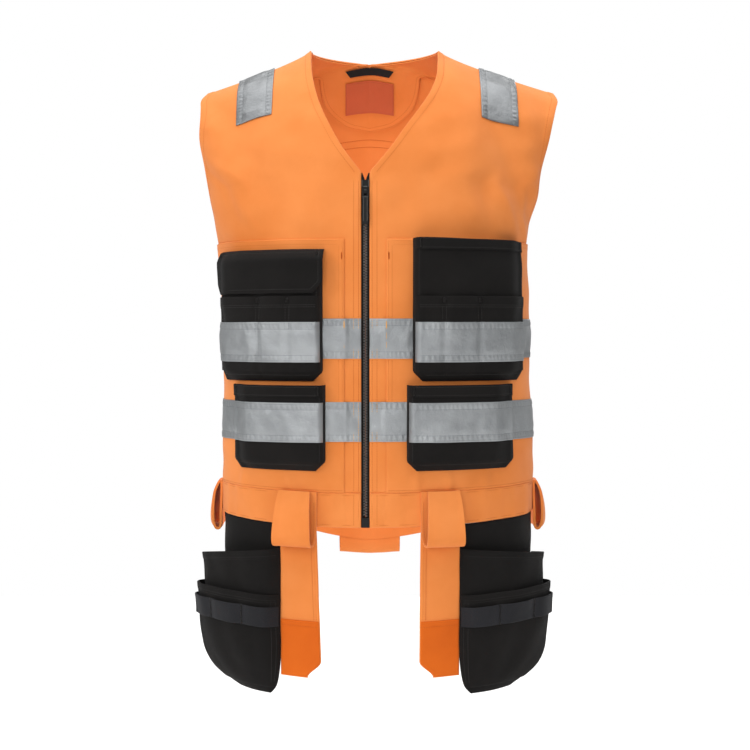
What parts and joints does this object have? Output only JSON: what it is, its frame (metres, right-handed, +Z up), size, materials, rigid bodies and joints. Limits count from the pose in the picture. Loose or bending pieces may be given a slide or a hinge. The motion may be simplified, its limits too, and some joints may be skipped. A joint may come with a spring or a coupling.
{
  "type": "utility work vest",
  "caption": "Zip-front sleeveless work vest with V-neck, reflective bands, black chest and waist pockets, hanging belt loops and two hip tool pockets",
  "frame": {"origin": "midway between the neck-side ends of the two shoulder seams, where the vest rests on the shoulders", "axes": "+Z up, front towards -Y, the wearer's left towards +X"},
  "size_m": [0.4748, 0.3054, 0.8306],
  "materials": {
    "orange_cloth": "woven polyester, matte",
    "black_cloth": "coarse woven nylon, matte",
    "reflective_tape": "retroreflective tape, satin",
    "dark_webbing": "ribbed webbing",
    "zip_tape": "woven zip tape, matte",
    "black_tape": "woven hanger tape, matte",
    "label_tape": "smooth woven label, satin",
    "zip_plastic": "moulded plastic, satin"
  },
  "bodies": {
    "vest": {"front_right": "orange_cloth", "front_left": "orange_cloth", "front_patch_right": "orange_cloth", "front_patch_left": "orange_cloth", "back_yoke": "orange_cloth", "back_panel": "orange_cloth", "waistband_right": "orange_cloth", "waistband_left": "orange_cloth", "waistband_back": "orange_cloth", "band_upper_right": "reflective_tape", "band_upper_left": "reflective_tape", "band_upper_back": "reflective_tape", "band_lower_right": "reflective_tape", "band_lower_left": "reflective_tape", "band_lower_back": "reflective_tape", "shoulder_patch_right": "reflective_tape", "shoulder_patch_left": "reflective_tape", "neck_facing": "orange_cloth", "hanger_tape": "black_tape", "size_label": "label_tape", "zip_tape_right": "zip_tape", "zip_tape_left": "zip_tape", "zip_chain": "zip_plastic", "zip_box": "zip_plastic", "zip_slider": "zip_plastic", "upper_right_pocket": "black_cloth", "upper_right_pocket_pen_layer": "black_cloth", "upper_right_pocket_strip": "reflective_tape", "upper_right_pocket_flap": "black_cloth", "upper_left_pocket": "black_cloth", "upper_left_pocket_pen_layer": "black_cloth", "upper_left_pocket_strip": "reflective_tape", "upper_left_pocket_welt": "black_cloth", "lower_right_pocket": "black_cloth", "lower_right_pocket_strip": "reflective_tape", "lower_right_pocket_welt": "black_cloth", "lower_left_pocket": "black_cloth", "lower_left_pocket_strip": "reflective_tape", "lower_left_pocket_welt": "black_cloth", "front_loop_right": "orange_cloth", "front_loop_left": "orange_cloth", "side_loop_right": "orange_cloth", "side_loop_left": "orange_cloth", "back_loop": "orange_cloth", "right_tool_pocket": "black_cloth", "right_tool_pocket_front_panel": "orange_cloth", "right_tool_pocket_front_patch": "orange_cloth", "right_tool_pocket_back_panel": "black_cloth", "right_tool_pocket_small": "black_cloth", "right_tool_pocket_webbing": "dark_webbing", "left_tool_pocket": "black_cloth", "left_tool_pocket_front_panel": "orange_cloth", "left_tool_pocket_front_patch": "orange_cloth", "left_tool_pocket_back_panel": "black_cloth", "left_tool_pocket_small": "black_cloth", "left_tool_pocket_webbing": "dark_webbing"},
    "puller": {"zip_puller": "zip_plastic"}
  },
  "joints": [
    {"name": "puller_swing", "type": "hinge", "parent": "vest", "child": "puller", "pos_m": [-0.0137, -0.12913, -0.196], "axis": [-1, 0, 0], "range_deg": [0, 150]}
  ]
}
